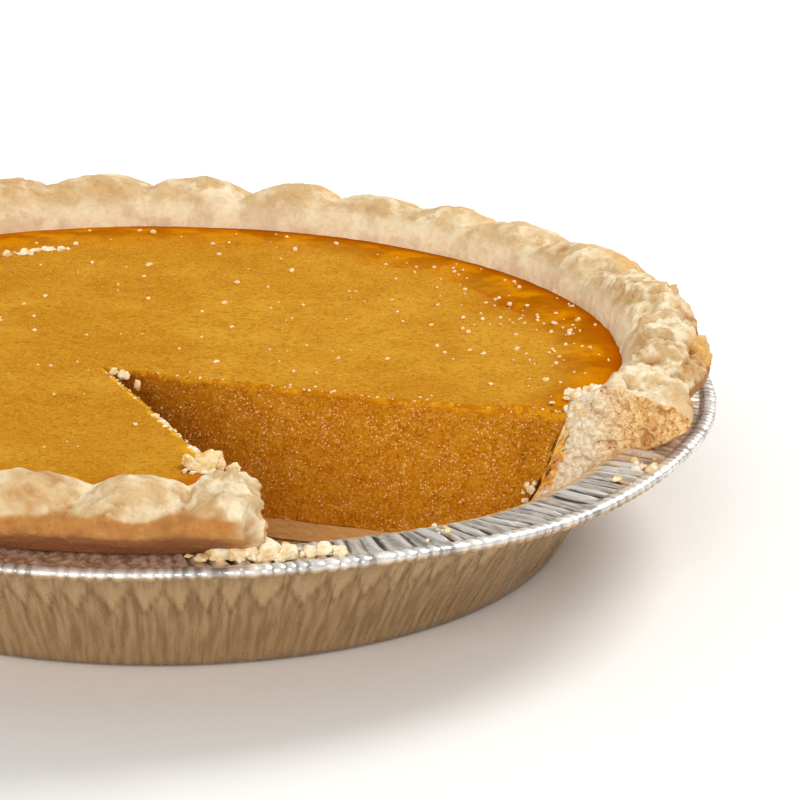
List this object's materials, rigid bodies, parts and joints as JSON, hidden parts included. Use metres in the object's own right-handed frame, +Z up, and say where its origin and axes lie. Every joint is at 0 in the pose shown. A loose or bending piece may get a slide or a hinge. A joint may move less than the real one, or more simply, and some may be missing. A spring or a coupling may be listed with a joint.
{
  "type": "pumpkin pie",
  "caption": "Round open-topped pumpkin pie with a crimped pastry edge, set filling and one slice missing, in a shallow fluted foil pie tin.",
  "frame": {"origin": "centre of the tin's round outline, on the surface the tin stands on", "axes": "+Z up out of the pie; -Y towards the front; the missing slice opens between +X and -Y"},
  "size_m": [0.2484, 0.244, 0.0501],
  "materials": {
    "foil": "bright crinkled foil",
    "pastry": "matt baked shortcrust",
    "pumpkin": "smooth moist set custard"
  },
  "bodies": {
    "root": {"foil_tin": "foil", "pastry_crust": "pastry", "pumpkin_filling": "pumpkin"}
  },
  "joints": []
}
